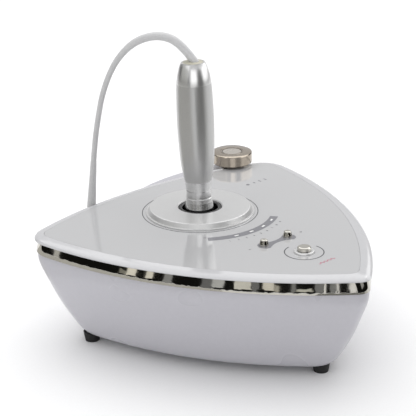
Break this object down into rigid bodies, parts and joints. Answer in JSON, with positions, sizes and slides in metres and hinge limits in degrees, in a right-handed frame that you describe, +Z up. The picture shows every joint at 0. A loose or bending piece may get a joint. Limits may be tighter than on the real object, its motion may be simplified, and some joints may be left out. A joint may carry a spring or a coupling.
{
  "type": "radio-frequency skin therapy console",
  "caption": "Desktop skin-therapy console with a triangular housing, keypad, corded handpiece standing in a socket, and a spare electrode head on a rear rack.",
  "frame": {"origin": "centre of the console on the surface that its feet stand on", "axes": "+Z up, -Y towards the nose of the console, +X to the right of someone who looks along +Y"},
  "size_m": [0.247, 0.2581, 0.2249],
  "materials": {
    "white_abs": "glossy moulded ABS, cool white",
    "white_panel": "back-printed clear-faced panel, cool white, high gloss",
    "chrome": "bright chrome plating, mirror finish",
    "satin_aluminium": "bead-blasted and anodised, satin",
    "nickel": "warm nickel plate, turned face and polished side",
    "black_gloss": "gloss black rubber ring",
    "black_rubber": "matte black rubber",
    "black_plastic": "moulded black nylon",
    "cream_bush": "soft cream elastomer",
    "grey_cord": "satin light grey cord jacket",
    "clear_light": "clear acrylic light window",
    "board_green": "solder-masked laminate",
    "steel": "zinc-plated steel",
    "brass": "turned brass",
    "white_insulator": "white acetal insulator",
    "dark_aluminium": "black anodised extrusion",
    "potting": "black potting compound"
  },
  "bodies": {
    "console": {"board_screws": "steel", "chrome_band": "chrome", "control_panel": "white_panel", "cord_plug": "grey_cord", "cord_socket": "steel", "cord_socket_nut": "steel", "cord_strain_relief": "grey_cord", "display_board": "board_green", "foot_screws": "steel", "heat_sink": "dark_aluminium", "housing_screws": "steel", "inlet_pins": "brass", "led_chips": "clear_light", "led_windows": "clear_light", "lower_housing": "white_abs", "main_board": "board_green", "mains_inlet": "black_plastic", "power_collar": "white_abs", "power_supply_module": "potting", "rack_screws": "steel", "rear_head_rack": "white_abs", "rubber_feet": "black_rubber", "socket_cup": "black_plastic", "socket_escutcheon": "satin_aluminium", "socket_liner": "black_gloss", "step_up_transformer": "potting", "tact_switches": "black_plastic", "upper_housing": "white_abs"},
    "handpiece": {"grip_barrel": "satin_aluminium", "tail_cap": "satin_aluminium", "cord_bush": "cream_bush", "neck_sleeve": "satin_aluminium", "head_collar": "satin_aluminium", "collar_stud": "brass", "handle_board": "board_green", "head_shell": "satin_aluminium", "head_nose": "white_insulator", "ring_electrode": "nickel", "centre_electrode": "nickel", "contact_pins": "brass", "handpiece_cord": "grey_cord"},
    "spare_head": {"spare_head_shell": "nickel", "spare_insulator": "white_insulator", "spare_centre_electrode": "nickel", "spare_stem": "nickel", "spare_contact_pin": "brass"},
    "minus_key": {"minus_button": "chrome"},
    "plus_key": {"plus_button": "chrome"},
    "power_key": {"power_button": "chrome"}
  },
  "joints": [
    {"name": "handpiece_lift", "type": "slide", "parent": "console", "child": "handpiece", "axis": [-0.0123, 0.0211, 0.9997], "range_m": [0, 0.06], "deforming": ["handpiece_cord"]},
    {"name": "spare_head_lift", "type": "slide", "parent": "console", "child": "spare_head", "axis": [0, 0, 1], "range_m": [0, 0.03]},
    {"name": "minus_press", "type": "slide", "parent": "console", "child": "minus_key", "axis": [0, 0, -1], "range_m": [0, 0.001], "stiffness_N_per_m": 600},
    {"name": "plus_press", "type": "slide", "parent": "console", "child": "plus_key", "axis": [0, 0, -1], "range_m": [0, 0.001], "stiffness_N_per_m": 600},
    {"name": "power_press", "type": "slide", "parent": "console", "child": "power_key", "axis": [0, 0, -1], "range_m": [0, 0.0015], "stiffness_N_per_m": 600}
  ]
}
